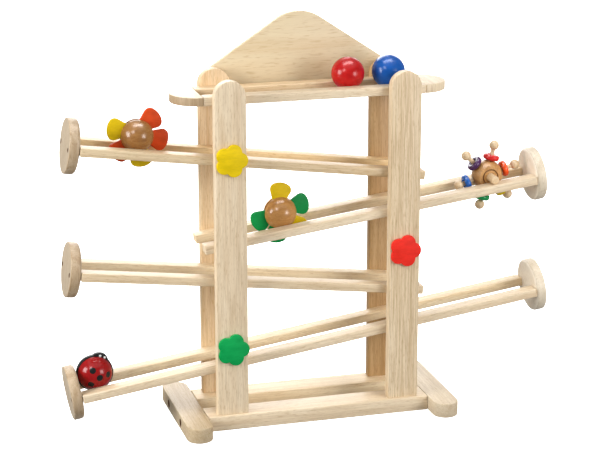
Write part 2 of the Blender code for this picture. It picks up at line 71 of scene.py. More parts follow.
# FIT is the gap between two pieces, and NEAR and SAME are tolerances.
FIT, NEAR, SAME = 0.3, 0.1, 0.01
RAIL_IN, RAIL_OUT, RAIL_HEIGHT, RAIL_EASE, SOLID_EASE = 15.5, 33.5, 10.3, 0.9, 1.2
RAIL_MID = (RAIL_IN + RAIL_OUT) / 2
RAIL_HALF = (RAIL_OUT - RAIL_IN) / 2
POST_IN, POST_OUT, POST_X, POST_WIDTH, POST_TOP = 33.8, 45.8, 107.5, 38.0, 426.8
BASE_HEIGHT, BASE_HALF, BASE_OUT = 18.0, 138.7, 50.8
BASE_MID = (RAIL_IN + BASE_OUT) / 2
FOOT_IN, FOOT_WIDTH, FOOT_LENGTH = 139.0, 31.5, 170.0
FOOT_MID, FOOT_OUT = FOOT_IN + FOOT_WIDTH / 2, FOOT_IN + FOOT_WIDTH
TOP_LEVEL, TOP_HALF = 406.8, 135.7
DISC_RADIUS, DISC_THICK = 33.0, 13.0
BALL_RADIUS = 20.0
SEAT = math.sqrt((BALL_RADIUS + SOLID_EASE + FIT) ** 2 - (RAIL_IN + SOLID_EASE) ** 2) - SOLID_EASE

# A track has a height at the middle, a slope in degrees, and the places of its left and right ends.
TRACKS = {
    "upper": (318.8, -7.6, -283.5, 138.5),
    "second": (245.6, 7.6, -138.5, 285.0),
    "third": (172.0, -6.95, -286.3, 138.5),
    "bottom": (96.9, 8.26, -291.1, 289.6),
}
DISC_ENDS = {"upper": (-1,), "second": (1,), "third": (-1,), "bottom": (-1, 1)}


def track_frame(name):
    """The frame of a track, in millimetres: its height at the middle, then its slope."""
    height, slope, _, _ = TRACKS[name]
    return Matrix.Translation((0, 0, height)) @ Matrix.Rotation(-math.radians(slope), 4, 'Y')


print("tracks", ", ".join(TRACKS))

# %% [markdown]
# Blender's operators act on whatever is selected, and the loaded solids are still selected.
# These small helpers clear the selection first, apply one modifier at a time, and open and close a mesh.
# Working this way keeps every later cell close to what a person does by hand in the viewport.

# %% Helpers that select and modify


def start_clean():
    """Leave edit mode and deselect everything."""
    if bpy.context.object and bpy.context.object.mode != 'OBJECT':
        bpy.ops.object.mode_set(mode='OBJECT')
    bpy.ops.object.select_all(action='DESELECT')


def pick(obj):
    """Make one piece the only selected one."""
    start_clean()
    obj.select_set(True)
    bpy.context.view_layer.objects.active = obj


def take(name):
    """Name the primitive that was just added and freeze its place, turn and size into its mesh."""
    obj = bpy.context.object
    obj.name = name
    obj.data.name = name
    bpy.ops.object.transform_apply(location=True, rotation=True, scale=True)
    return obj


def modify(obj, kind, **settings):
    """Add one modifier and apply it at once."""
    modifier = obj.modifiers.new(kind.lower(), kind)
    for key, value in settings.items():
        setattr(modifier, key, value)
    bpy.context.view_layer.objects.active = obj
    bpy.ops.object.modifier_apply(modifier=modifier.name)


def ease(obj, width, segments=3, angle=40.0):
    """Round every edge that is sharper than an angle."""
    modify(obj, 'BEVEL', width=width, segments=segments, limit_method='ANGLE',
           angle_limit=math.radians(angle), use_clamp_overlap=True)


def open_mesh():
    """Enter edit mode with the whole mesh selected."""
    bpy.ops.object.mode_set(mode='EDIT')
    bpy.ops.mesh.select_all(action='SELECT')


def close_mesh():
    """Turn every face outward and leave edit mode."""
    bpy.ops.mesh.select_all(action='SELECT')
    bpy.ops.mesh.normals_make_consistent(inside=False)
    bpy.ops.object.mode_set(mode='OBJECT')


def unselect(kind):
    """Deselect the whole mesh, so that single edges or faces can be picked."""
    bpy.ops.object.mode_set(mode='EDIT')
    bpy.ops.mesh.select_mode(type=kind)
    bpy.ops.mesh.select_all(action='DESELECT')
    bpy.ops.object.mode_set(mode='OBJECT')


def ease_edges(obj, width, segments, chosen):
    """Round only the edges that a test on their two ends picks out."""
    pick(obj)
    unselect('EDGE')
    for edge in obj.data.edges:
        first, second = (obj.data.vertices[index].co for index in edge.vertices)
        edge.select = chosen(first, second)
    bpy.ops.object.mode_set(mode='EDIT')
    bpy.ops.mesh.bevel(offset=width, segments=segments, affect='EDGES')
    bpy.ops.object.mode_set(mode='OBJECT')


def drill(obj, tool):
    """Cut a tool out of a piece and throw the tool away."""
    modify(obj, 'BOOLEAN', operation='DIFFERENCE', solver='EXACT', object=tool)
    bpy.data.objects.remove(tool, do_unlink=True)


print("modelling helpers ready")

# %% [markdown]
# Many pieces of a toy are made in one jig, so the script models each of them once as a pattern.
# A copy gets a mesh of its own, because its place is frozen into that mesh.
# One helper shades and paints the copy, moves it into place and lets it ride on its body.
# The last one does this for the many pieces that never move, which share one body.

# %% Helpers that copy and place
HALF_TURN = Matrix.Rotation(math.pi, 4, 'Z')
HANDS = {"left": HALF_TURN, "right": Matrix()}
SMOOTH_BELOW = 35.0


def copy_of(pattern, name):
    """A copy of a pattern, with its own mesh."""
    copy = pattern.copy()
    copy.data = pattern.data.copy()
    copy.name = name
    copy.data.name = name
    bpy.context.scene.collection.objects.link(copy)
    return copy


def discard(*patterns):
    """Throw finished patterns away."""
    for pattern in patterns:
        bpy.data.objects.remove(pattern, do_unlink=True)


def mark(obj, test, index=1):
    """Mark the faces that will get one of a piece's extra finishes."""
    for face in obj.data.polygons:
        if test(face):
            face.material_index = index


def settle(obj, finish, body, node=None, place=Matrix(), angle=SMOOTH_BELOW, extras=()):
    """Shade, paint and place a finished piece, and let it ride on its body."""
    pick(obj)
    bpy.ops.object.shade_smooth_by_angle(angle=math.radians(angle))
    obj.data.transform(Matrix.Scale(MM, 4) @ place)
    marks = [face.material_index for face in obj.data.polygons]
    obj.data.materials.clear()
    for each in (finish, *extras):
        obj.data.materials.append(each)
    for face, index in zip(obj.data.polygons, marks):
        face.material_index = index
    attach(obj, body)
    if node:
        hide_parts(node)


def join_frame(pattern, name, finish, node=None, place=Matrix(), extras=()):
    """Copy a pattern into the fixed frame."""
    settle(copy_of(pattern, name), finish, "frame", node, place, extras=extras)


print("copying helpers ready")

# %% [markdown]
# Nearly everything here is a plank, a board that is sawn to an outline, or a turned rod.
# A plank is a stretched cube, and a rod is a cylinder along one axis.
# A board starts as a circle whose points are moved onto the outline, and is then extruded to its thickness.

# %% Planks, boards and rods


def plank(name, x_span, y_span, z_span, width):
    """A plank with rounded edges, from a stretched cube."""
    start_clean()
    spans = (x_span, y_span, z_span)
    bpy.ops.mesh.primitive_cube_add(size=1.0, location=[(low + high) / 2 for low, high in spans])
    bpy.context.object.scale = [high - low for low, high in spans]
    obj = take(name)
    ease(obj, width)
    return obj


def cut_board(name, outline, low, high, upright):
    """A board sawn to an outline; upright boards stand in the XZ plane."""
    start_clean()
    bpy.ops.mesh.primitive_circle_add(vertices=len(outline), radius=1.0, fill_type='NGON')
    obj = take(name)
    for vertex, (a, b) in zip(obj.data.vertices, outline):
        vertex.co = (a, low, b) if upright else (a, b, low)
    push = (0, high - low, 0) if upright else (0, 0, high - low)
    open_mesh()
    bpy.ops.mesh.extrude_region_move(TRANSFORM_OT_translate={"value": push})
    close_mesh()
    return obj


def rod(name, radius, low, high, axis, centre=(0, 0, 0), sides=32):
    """A round bar along an axis; centre gives the other two coordinates."""
    start_clean()
    turn = {'X': (0, math.pi / 2, 0), 'Y': (-math.pi / 2, 0, 0), 'Z': (0, 0, 0)}[axis]
    middle = Vector(centre)
    middle['XYZ'.index(axis)] += (low + high) / 2
    bpy.ops.mesh.primitive_cylinder_add(vertices=sides, radius=radius, depth=high - low,
                                        location=middle, rotation=turn)
    return take(name)


def arc(radius, start, stop, steps, centre=(0.0, 0.0)):
    """Points on an arc; angles in degrees."""
    points = []
    for step in range(steps + 1):
        angle = math.radians(start + (stop - start) * step / steps)
        points.append((centre[0] + radius * math.cos(angle), centre[1] + radius * math.sin(angle)))
    return points


print("plank, board and rod ready")

# %% [markdown]
# Every finish in this lesson is a small network of texture nodes on Object coordinates.
# A Mapping node in texture mode turns the coordinates along the grain.
# It also divides them by the size of a feature, so the noise that follows has that size.
# The helpers below each add one step, so that a finish reads as a short list of what it shows.

# %% Texture helpers
GRAIN_X = (0, 0, 0)
GRAIN_Y = (0, 0, math.pi / 2)
GRAIN_Z = (0, -math.pi / 2, 0)


def blank_material(name):
    """An empty Principled material."""
    material = bpy.data.materials.new(name)
    material.use_nodes = True
    nodes, links = material.node_tree.nodes, material.node_tree.links
    return material, nodes, links, nodes['Principled BSDF']


def feed(links, node, settings):
    """Give each named input of a node a socket or a fixed value."""
    for key, value in settings.items():
        if isinstance(value, bpy.types.NodeSocket):
            links.new(value, node.inputs[key])
        else:
            node.inputs[key].default_value = value


def noise(nodes, links, turn, shift, feature, detail, distortion=0.0, size=1.0):
    """Noise whose features have a length along the grain and a width across it, in metres."""
    length, width = feature
    source = nodes.new('ShaderNodeTexCoord')
    mapping = nodes.new('ShaderNodeMapping')
    mapping.vector_type = 'TEXTURE'
    feed(links, mapping, {'Vector': source.outputs['Object'], 'Location': shift, 'Rotation': turn,
                          'Scale': (length * size, width * size, width * size)})
    node = nodes.new('ShaderNodeTexNoise')
    feed(links, node, {'Vector': mapping.outputs['Vector'], 'Scale': 1.0, 'Detail': detail,
                       'Roughness': 0.55, 'Distortion': distortion})
    return node.outputs['Fac']


def ramp(nodes, links, value, stops):
    """A colour ramp with the given (position, colour) stops."""
    node = nodes.new('ShaderNodeValToRGB')
    band = node.color_ramp
    while len(band.elements) < len(stops):
        band.elements.new(0.5)
    for element, (position, colour) in zip(band.elements, stops):
        element.position = position
        element.color = (*colour, 1.0)
    links.new(value, node.inputs['Fac'])
    return node.outputs['Color']


def blend(nodes, links, factor, first, second, mode='MIX'):
    """Mix two colours; each may be a socket or a fixed colour."""
    node = nodes.new('ShaderNodeMix')
    node.data_type = 'RGBA'
    node.blend_type = mode
    feed(links, node, {0: factor, 6: first, 7: second})
    return node.outputs[2]


def span(nodes, links, value, low, high):
    """Stretch a 0 to 1 value over a range."""
    node = nodes.new('ShaderNodeMapRange')
    feed(links, node, {'Value': value, 'To Min': low, 'To Max': high})
    return node.outputs['Result']


def relief(nodes, links, height, strength, distance=0.0002):
    """A bump from a height value."""
    node = nodes.new('ShaderNodeBump')
    feed(links, node, {'Height': height, 'Strength': strength, 'Distance': distance})
    return node.outputs['Normal']


print("texture helpers ready")

# %% [markdown]
# Light hardwood such as beech or rubberwood has a few things that the eye reads at once.
# It has broad pale and tan bands along the board, short dark flecks between fine lines, and faint pores.
# All of these are noise that is stretched along the grain.
# So a finish needs only the grain's direction and three tones: light, middle and dark.
# Boards from different planks differ in grain, and end grain is often darker. Many pieces also get tones
# that are painted light and shade, lighter or darker for where they stand.

# %% Pale timber finish
# Most of these sets are painted light and shade: WARM, DEEP and HONEY warm or deepen rear pieces as painted
# shade (HONEY is also the axle's tone), CREAM lightens rear rails as painted light, and WHEAT and TAN dim
# rails on the left where the light fades (TAN is also the front-right post's tone).
PALE = ((0.82, 0.69, 0.505), (0.765, 0.62, 0.43), (0.69, 0.53, 0.345))
TAN = ((0.785, 0.645, 0.455), (0.73, 0.58, 0.385), (0.66, 0.50, 0.31))
HONEY = ((0.84, 0.66, 0.43), (0.78, 0.58, 0.35), (0.70, 0.48, 0.26))
WHEAT = ((0.73, 0.585, 0.38), (0.68, 0.52, 0.32), (0.605, 0.435, 0.245))
WARM = ((0.96, 0.735, 0.42), (0.89, 0.64, 0.34), (0.80, 0.53, 0.26))
CREAM = ((0.94, 0.79, 0.555), (0.88, 0.705, 0.46), (0.80, 0.60, 0.355))
DEEP = ((0.59, 0.395, 0.20), (0.53, 0.335, 0.155), (0.455, 0.275, 0.115))
# End-block edges: the left one is darker as end grain with painted shade, and the right one is as pale as
# its top.
EDGE_GRAIN_AND_SHADE = {"left": ((0.53, 0.40, 0.255), (0.45, 0.33, 0.20), (0.365, 0.25, 0.14)), "right": PALE}
# Rim tones: the left rims are darkened with painted shade, and the right rims are lightened with painted
# light.
RIM_LIT_AND_SHADED = {"left": ((0.58, 0.455, 0.31), (0.485, 0.355, 0.22), (0.38, 0.255, 0.14)),
             "right": ((0.80, 0.71, 0.57), (0.74, 0.64, 0.49), (0.67, 0.56, 0.41))}
# Feet tones are darkened as painted shade, the left foot most, for the shadow across its top.
FOOT_SHADED_TONES = {"left": ((0.59, 0.475, 0.315), (0.545, 0.425, 0.265), (0.485, 0.355, 0.21)),
              "right": ((0.65, 0.55, 0.40), (0.60, 0.49, 0.34), (0.535, 0.41, 0.27))}
# DARK is painted shade for the walls inside the screw holes of the feet and discs.
DARK = ((0.20, 0.10, 0.050), (0.16, 0.075, 0.035), (0.11, 0.050, 0.022))
# A feature has its length and width in metres, and then the detail and the distortion of its noise.
BAND, FLECK = ((0.16, 0.0075), 4.0, 0.6), ((0.0085, 0.0010), 2.0, 0.2)
LINE, PORE = ((0.05, 0.0013), 3.0, 0.3), ((0.0022, 0.00022), 2.0, 0.0)
FLECK_SHADE, FLECK_SHARE, LINE_SHADE = (0.82, 0.76, 0.68), 0.58, (0.70, 0.64, 0.56)
BOARD_STEP = (0.137, 0.071, 0.053)
board_numbers = itertools.count(1)


def timber(name, turn=GRAIN_X, tones=PALE, roughness=0.45, coat=0.12, size=1.0, streak=0.42, pore=0.12):
    """Lacquered hardwood with its grain along the turned X axis."""
    number = next(board_numbers)
    shift = [step * number for step in BOARD_STEP]
    material, nodes, links, shader = blank_material(name)
    bands = noise(nodes, links, turn, shift, *BAND, size)
    flecks = noise(nodes, links, turn, shift, *FLECK, size)
    streaks = noise(nodes, links, turn, shift, *LINE, size)
    pores = noise(nodes, links, turn, shift, *PORE)
    light, middle, dark = tones
    figure = ramp(nodes, links, bands, ((0.30, light), (0.52, middle), (0.72, dark)))
    speck = ramp(nodes, links, flecks, ((0.54, (0, 0, 0)), (0.68, (1, 1, 1))))
    fleck_share = span(nodes, links, speck, 0.0, FLECK_SHARE)
    fleck_colour = [tone * shade for tone, shade in zip(dark, FLECK_SHADE)]
    flecked = blend(nodes, links, fleck_share, figure, (*fleck_colour, 1.0))
    lines = ramp(nodes, links, streaks, ((0.36, LINE_SHADE), (0.58, (1.0, 1.0, 1.0))))
    feed(links, shader, {
        'Base Color': blend(nodes, links, streak, flecked, lines, 'MULTIPLY'),
        'Roughness': span(nodes, links, flecks, roughness - 0.08, roughness + 0.12),
        'Normal': relief(nodes, links, pores, pore),
        'Specular IOR Level': 0.3, 'Coat Weight': coat, 'Coat Roughness': min(0.35, roughness),
    })
    return material


def tilted(track):
    """Grain along a sloping track."""
    return (0, -math.radians(TRACKS[track][1]), 0)


print("timber finish ready")

# %% [markdown]
# Paint on a wooden toy is not a flat colour either.
# It is a little thicker in places, the grain telegraphs through it, and its gloss wanders.
# One helper makes every painted finish from a colour, a roughness and the strength of the grain below it.

# %% Painted finishes
DRIFT, FIBRE, FIBRE_SHADE = ((0.02, 0.009), 3.0), ((0.006, 0.0007), 3.0), (0.80, 0.80, 0.80)
DEEPEN, BRIGHTEN, LIFT, GRAIN_SHADE = 0.86, 1.06, 0.004, 4.0
PAINT_STEP = (0.013, 0.007, 0.019)


def paint(name, colour, roughness, coat, shine, grain=0.10):
    """Paint over wood: slight colour drift, grain that shows through, and a soft gloss."""
    material, nodes, links, shader = blank_material(name)
    shift = [step * len(name) for step in PAINT_STEP]
    drift = noise(nodes, links, GRAIN_X, shift, *DRIFT)
    fibres = noise(nodes, links, GRAIN_X, shift, *FIBRE)
    deep = [value * DEEPEN for value in colour]
    clear = [min(1.0, value * BRIGHTEN + LIFT) for value in colour]
    base = ramp(nodes, links, drift, ((0.32, deep), (0.66, clear)))
    shade = ramp(nodes, links, fibres, ((0.35, FIBRE_SHADE), (0.62, (1.0, 1.0, 1.0))))
    feed(links, shader, {
        'Base Color': blend(nodes, links, grain * GRAIN_SHADE, base, shade, 'MULTIPLY'),
        'Roughness': span(nodes, links, drift, roughness - 0.05, roughness + 0.08),
        'Normal': relief(nodes, links, fibres, grain),
        'Specular IOR Level': shine, 'Coat Weight': coat, 'Coat Roughness': 0.08,
    })
    return material


def paints(kind, hues, **settings):
    """One paint for each hue, named for its colour and its kind."""
    return {colour: paint(colour + "_" + kind + "_paint", hue, **settings) for colour, hue in hues.items()}


BLACK = (0.010, 0.010, 0.010)
SATIN_HUES = {"red": (0.84, 0.026, 0.014), "yellow": (0.82, 0.58, 0.002), "green": (0.001, 0.37, 0.082)}
RING_HUES = {"orange": (0.80, 0.080, 0.005), "red": (0.70, 0.014, 0.012), "purple": (0.070, 0.018, 0.095),
             "blue": (0.008, 0.12, 0.52), "green": (0.001, 0.30, 0.075), "yellow": (0.82, 0.58, 0.002)}
BALL_HUES = {"red": (0.46, 0.005, 0.005), "blue": (0.004, 0.085, 0.38)}
PETAL_HUES = {"yellow": (0.76, 0.53, 0.002), "orange": (0.68, 0.062, 0.004),
              "green": (0.0005, 0.27, 0.058)}
petal_paint = paints("petal", PETAL_HUES, roughness=0.42, coat=0.0, shine=0.15)
satin = paints("satin", SATIN_HUES, roughness=0.45, coat=0.0, shine=0.12)
ring_paint = paints("ring", RING_HUES, roughness=0.18, coat=0.1, shine=0.4, grain=0.03)
ball_gloss = paints("gloss", BALL_HUES, roughness=0.20, coat=0.0, shine=0.28, grain=0.02)
black_satin = paint("black_satin_paint", BLACK, roughness=0.30, coat=0.0, shine=0.2)
print("paints", len(satin) + len(petal_paint) + len(ring_paint) + len(ball_gloss) + 1)

# %% [markdown]
# The feet are two stadium-shaped planks that lie across the ends of the base.
# A circle primitive is reshaped to the outline, extruded to the plank's height and rounded over.
# Two deep holes in the outer edge hide the screws that go into the base rails.
# The walls of those holes are marked for a finish of their own, a dark painted shade.

# %% Feet
FOOT_EASE, FOOT_STEPS = 1.1, 28
BORE_RADIUS, BORE_DEPTH, OVERRUN = 5.0, 12.0, 1.0


def in_bore(face):
    """Whether a face lies inside one of the foot's screw holes."""
    off_axis = math.hypot(abs(face.center.y) - BASE_MID, face.center.z - BASE_HEIGHT / 2)
    return off_axis < BORE_RADIUS + NEAR and face.center.x < FOOT_OUT - 2 * NEAR


radius = FOOT_WIDTH / 2
straight = FOOT_LENGTH / 2 - radius
outline = arc(radius, 0, 180, FOOT_STEPS, (FOOT_MID, straight))
outline += arc(radius, 180, 360, FOOT_STEPS, (FOOT_MID, -straight))
foot = cut_board("foot_pattern", outline, 0, BASE_HEIGHT, False)
ease(foot, FOOT_EASE)
for y in (-BASE_MID, BASE_MID):
    centre = (0, y, BASE_HEIGHT / 2)
    drill(foot, rod("drill", BORE_RADIUS, FOOT_OUT - BORE_DEPTH, FOOT_OUT + OVERRUN, 'X', centre))
mark(foot, in_bore)
# The hole walls get painted shade: a dark timber where only shade falls.
bore_shade = timber("bored_timber", GRAIN_X, DARK, 0.7, 0.0)
for hand, place in HANDS.items():
    finish = timber(hand + "_foot_timber", GRAIN_Y, FOOT_SHADED_TONES[hand])
    join_frame(foot, hand + "_foot_plank", finish, hand + "_foot", place, (bore_shade,))
discard(foot)
print("feet are", FOOT_LENGTH, "mm long")

# %% [markdown]
# Two base rails join the feet, and two more rails lie level at the top.
# Each is a stretched cube with eased edges, modelled once at the rear and turned round for the front.

# %% Base rails and top rails
BASE_EASE = 0.9
base_rail = plank("base_pattern", (-BASE_HALF, BASE_HALF), (RAIL_IN, BASE_OUT), (0, BASE_HEIGHT), BASE_EASE)
top_rail = plank("top_pattern", (-TOP_HALF, TOP_HALF), (RAIL_IN, RAIL_OUT),
                 (TOP_LEVEL - RAIL_HEIGHT, TOP_LEVEL), RAIL_EASE)
# The rear copies get their own tones as painted light and shade, lighter or warmer than the front ones.
for word, place, base, top in (("front", HALF_TURN, PALE, PALE), ("rear", Matrix(), CREAM, HONEY)):
    finish = timber(word + "_base_timber", GRAIN_X, base)
    join_frame(base_rail, word + "_base_plank", finish, word + "_base_rail", place)
    finish = timber("top_" + word + "_timber", GRAIN_X, top)
    join_frame(top_rail, "top_" + word + "_plank", finish, "top_" + word + "_rail", place)
discard(base_rail, top_rail)
print("base rails", 2 * BASE_HALF, "mm, top rails", 2 * TOP_HALF, "mm")

# %% [markdown]
# The four posts are boards with a round head. Their foot stands square on the base, so it stays sharp.
# Edges are therefore picked by their place before they are rounded.
# They are the edges of the two broad faces, without the lowest ones.

# %% Posts
POST_FOOT, POST_EASE, POST_STEPS = BASE_HEIGHT + FIT, 1.2, 36
# Post tones are painted light and shade: the rear posts stand in shade and get warmer, deeper tones, the
# rear-right one deepest.
POST_LIGHT_AND_SHADE = {"front_left": PALE, "front_right": TAN, "rear_left": HONEY, "rear_right": DEEP}
POST_STREAKS = {"front_left": 0.5, "front_right": 0.85, "rear_left": 0.5, "rear_right": 0.5}


def broad_edge(first, second):
    """Whether an edge runs round a broad face of the post and above its foot."""
    return abs(first.y - second.y) < SAME and max(first.z, second.z) > POST_FOOT + SAME


half = POST_WIDTH / 2
outline = arc(half, 0, 180, POST_STEPS, (0, POST_TOP - half)) + [(-half, POST_FOOT), (half, POST_FOOT)]
post = cut_board("post_pattern", outline, POST_IN, POST_OUT, True)
ease_edges(post, POST_EASE, 3, broad_edge)
for word, turn in (("front", HALF_TURN), ("rear", Matrix())):
    for hand, x in (("left", -POST_X), ("right", POST_X)):
        name = word + "_" + hand
        finish = timber(name + "_post_timber", GRAIN_Z, POST_LIGHT_AND_SHADE[name], streak=POST_STREAKS[name])
        place = Matrix.Translation((x, 0, 0)) @ turn
        join_frame(post, name + "_post_plank", finish, name + "_post", place)
discard(post)
print("posts stand", POST_TOP, "mm high")

# %% [markdown]
# A half-round block closes each end of the top track, so the balls cannot roll off it.
# Its grain runs across the track, and its round edge has a finish of its own.
# The left block's edge is darker, partly end grain and partly painted shade, and the right block's is as
# pale as its top.
# The gable behind the top track is a thin plywood panel with a round top, and it is left bare.

# %% End blocks and gable
BLOCK_STEPS, EDGE_TILT = 40, 0.7
outline = arc(RAIL_OUT, -90, 90, BLOCK_STEPS, (TOP_HALF + FIT, 0))
block = cut_board("block_pattern", outline, TOP_LEVEL - RAIL_HEIGHT, TOP_LEVEL, False)
ease(block, RAIL_EASE)
mark(block, lambda face: abs(face.normal.z) < EDGE_TILT)
for hand, place in HANDS.items():
    name = "top_" + hand
    finish = timber(name + "_block_timber", GRAIN_Y)
    edge_grain_and_shade = timber(name + "_edge_grain_and_shade", GRAIN_Z, EDGE_GRAIN_AND_SHADE[hand])
    join_frame(block, name + "_block", finish, name + "_end_block", place, (edge_grain_and_shade,))
discard(block)

GABLE_HALF, GABLE_SIDE, GABLE_APEX, GABLE_ROUND, GABLE_BOTTOM = 120.0, 419.0, 498.8, 50.0, 396.0
GABLE_FRONT, GABLE_THICK, GABLE_EASE, GABLE_STEPS = POST_OUT + FIT, 6.0, 0.8, 32
PLY = ((0.72, 0.605, 0.405), (0.69, 0.56, 0.36), (0.635, 0.485, 0.285))
lean = math.atan2(GABLE_APEX - GABLE_SIDE, GABLE_HALF)
outline = arc(GABLE_ROUND, 90 - math.degrees(lean), 90 + math.degrees(lean), GABLE_STEPS,
              (0, GABLE_APEX - GABLE_ROUND / math.cos(lean)))
outline += [(-GABLE_HALF, GABLE_SIDE), (-GABLE_HALF, GABLE_BOTTOM)]
outline += [(GABLE_HALF, GABLE_BOTTOM), (GABLE_HALF, GABLE_SIDE)]
panel = cut_board("gable_board", outline, GABLE_FRONT, GABLE_FRONT + GABLE_THICK, True)
ease(panel, GABLE_EASE)
plywood = timber("gable_plywood", GRAIN_X, PLY, roughness=0.5, size=2.0, streak=0.10)
settle(panel, plywood, "frame", "gable_panel")
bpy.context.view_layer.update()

# %% [markdown]
# Four pairs of rails slope to and fro between the posts.
# A rail is modelled level, copied to the front and the rear, and tilted by the track's frame.
# The direction of the grain is tilted with it.

# %% Track rails
# Rail tones are painted light and shade: front rails on the left are dimmer where the light fades, and rear
# rails are warmer or lighter for the shade between the rails.
FRONT_RAIL_LIGHT_AND_SHADE = {"upper": WHEAT, "second": PALE, "third": TAN, "bottom": PALE}
REAR_RAIL_LIGHT_AND_SHADE = {"upper": WARM, "second": CREAM, "third": CREAM, "bottom": CREAM}
for track, (_, _, left, right) in TRACKS.items():
    low = left + FIT if -1 in DISC_ENDS[track] else left
    high = right - FIT if 1 in DISC_ENDS[track] else right
    rail = plank(track + "_pattern", (low, high), (-RAIL_HALF, RAIL_HALF), (-RAIL_HEIGHT, 0), RAIL_EASE)
    for word, y, tones in (("front", -RAIL_MID, FRONT_RAIL_LIGHT_AND_SHADE), ("rear", RAIL_MID, REAR_RAIL_LIGHT_AND_SHADE)):
        finish = timber(track + "_" + word + "_timber", tilted(track), tones[track])
        place = track_frame(track) @ Matrix.Translation((0, y, 0))
        join_frame(rail, track + "_" + word + "_plank", finish, track + "_track_" + word + "_rail", place)
    discard(rail)
    print(track, "rails", round(high - low), "mm long")

# %% [markdown]
# A round disc stops each end where a roller could fall off.
# It is a turned cylinder with two sunk holes for its screws, modelled for the right end.
# The edge towards the track is rounded far, and the outer edge is only eased.
# The rim has tones of its own, darker on the left discs and lighter on the right as painted shade and
# painted light, and the walls of the holes get painted shade, so both are marked.

# %% End discs
SINK_RADIUS, SINK_DEPTH, DISC_SIDES = 2.9, 4.0, 96
INNER_EASE, OUTER_EASE = 4.0, 1.2
RIM_FROM, RIM_TO = -0.6, 0.8
# Disc faces are one wood: the left discs are darkened with painted shade, and the right ones are lightened
# with painted light.
DISC_LIT_AND_SHADED = {"left": ((0.48, 0.395, 0.285), (0.445, 0.355, 0.245), (0.395, 0.30, 0.195)),
              "right": ((0.97, 0.88, 0.74), (0.94, 0.845, 0.695), (0.89, 0.78, 0.615))}


def in_sink(face):
    """Whether a face lies inside one of the disc's screw holes."""
    off_axis = math.hypot(abs(face.center.y) - RAIL_MID, face.center.z + RAIL_HEIGHT / 2)
    return off_axis < SINK_RADIUS + NEAR


disc = rod("disc_pattern", DISC_RADIUS, 0, DISC_THICK, 'X', (0, 0, -RAIL_HEIGHT / 2), DISC_SIDES)
ease_edges(disc, INNER_EASE, 7, lambda first, second: max(first.x, second.x) < SAME)
ease_edges(disc, OUTER_EASE, 3, lambda first, second: min(first.x, second.x) > DISC_THICK - SAME)
for y in (-RAIL_MID, RAIL_MID):
    centre = (0, y, -RAIL_HEIGHT / 2)
    drill(disc, rod("drill", SINK_RADIUS, DISC_THICK - SINK_DEPTH, DISC_THICK + OVERRUN, 'X', centre))
mark(disc, lambda face: RIM_FROM < face.normal.x < RIM_TO)
mark(disc, in_sink, 2)
disc_places = {}
for track, sides in DISC_ENDS.items():
    for side in sides:
        _, _, left, right = TRACKS[track]
        hand, end = ("left", left) if side < 0 else ("right", right)
        name = track + "_" + hand
        disc_places[name] = track_frame(track) @ Matrix.Translation((end, 0, 0)) @ HANDS[hand]
        finish = timber(name + "_stop_timber", GRAIN_Z, DISC_LIT_AND_SHADED[hand], streak=0.1)
        rim = timber(name + "_rim_timber", GRAIN_Z, RIM_LIT_AND_SHADED[hand], streak=0.3)
        join_frame(disc, name + "_stop", finish, track + "_track_" + hand + "_disc", disc_places[name],
                   (rim, bore_shade))
discard(disc)
print("discs", ", ".join(disc_places))

# %% [markdown]
# Every disc is held by two small screws, and every foot by two larger ones deep in their holes.
# One head of browned steel is modelled with a crossed recess, and copied to each hole with its own mesh.

# %% Screws
SCREW_RADIUS, SCREW_HEIGHT, SCREW_EASE, FOOT_SCREW_SIZE, SCREW_GAP = 2.3, 2.2, 0.5, 1.7, 0.05
RECESS, RECESS_DROP = (1.6, 0.55, 2.6), 0.2
STEEL_DARK, STEEL_LIGHT, TOOL_MARK = (0.06, 0.040, 0.028), (0.14, 0.10, 0.075), ((0.0008, 0.0002), 3.0)
steel, nodes, links, shader = blank_material("browned_steel")
marks = noise(nodes, links, GRAIN_X, (0, 0, 0), *TOOL_MARK)
tint = ramp(nodes, links, marks, ((0.3, STEEL_DARK), (0.7, STEEL_LIGHT)))
feed(links, shader, {'Base Color': tint, 'Roughness': span(nodes, links, marks, 0.28, 0.48),
                     'Metallic': 1.0})

screw = rod("screw_pattern", SCREW_RADIUS, 0.0, SCREW_HEIGHT, 'X', sides=28)
ease(screw, SCREW_EASE)
for turn in (0.0, math.pi / 2):
    start_clean()
    recess_at = (SCREW_HEIGHT - RECESS_DROP, 0, 0)
    bpy.ops.mesh.primitive_cube_add(size=1.0, location=recess_at, rotation=(turn, 0, 0))
    bpy.context.object.scale = RECESS
    drill(screw, take("recess"))
for word, y in (("front", -RAIL_MID), ("rear", RAIL_MID)):
    seat = Matrix.Translation((DISC_THICK - SINK_DEPTH + SCREW_GAP, y, -RAIL_HEIGHT / 2))
    for name, place in disc_places.items():
        join_frame(screw, "screw_" + name + "_" + word, steel, None, place @ seat)
for word, y in (("front", -BASE_MID), ("rear", BASE_MID)):
    seat = Matrix.Translation((FOOT_OUT - BORE_DEPTH + SCREW_GAP, y, BASE_HEIGHT / 2))
    for hand, place in HANDS.items():
        join_frame(screw, "screw_foot_" + hand + "_" + word, steel, None,
                   place @ seat @ Matrix.Scale(FOOT_SCREW_SIZE, 4))
discard(screw)

# %% [markdown]
# Three flat flowers are glued to the front posts. Five round lobes meet in shallow notches.
# The outline follows from one lobe: the distance from the middle to a circle's edge at each angle.

# %% Post flowers
LOBE_RADIUS, LOBE_CENTRE, FLOWER_THICK, FLOWER_EASE, LOBES, LOBE_STEPS = 9.5, 10.5, 4.0, 0.9, 5, 18
POST_FLOWERS = (("yellow", -POST_X, 333.0), ("green", -POST_X, 100.7), ("red", POST_X, 206.9))


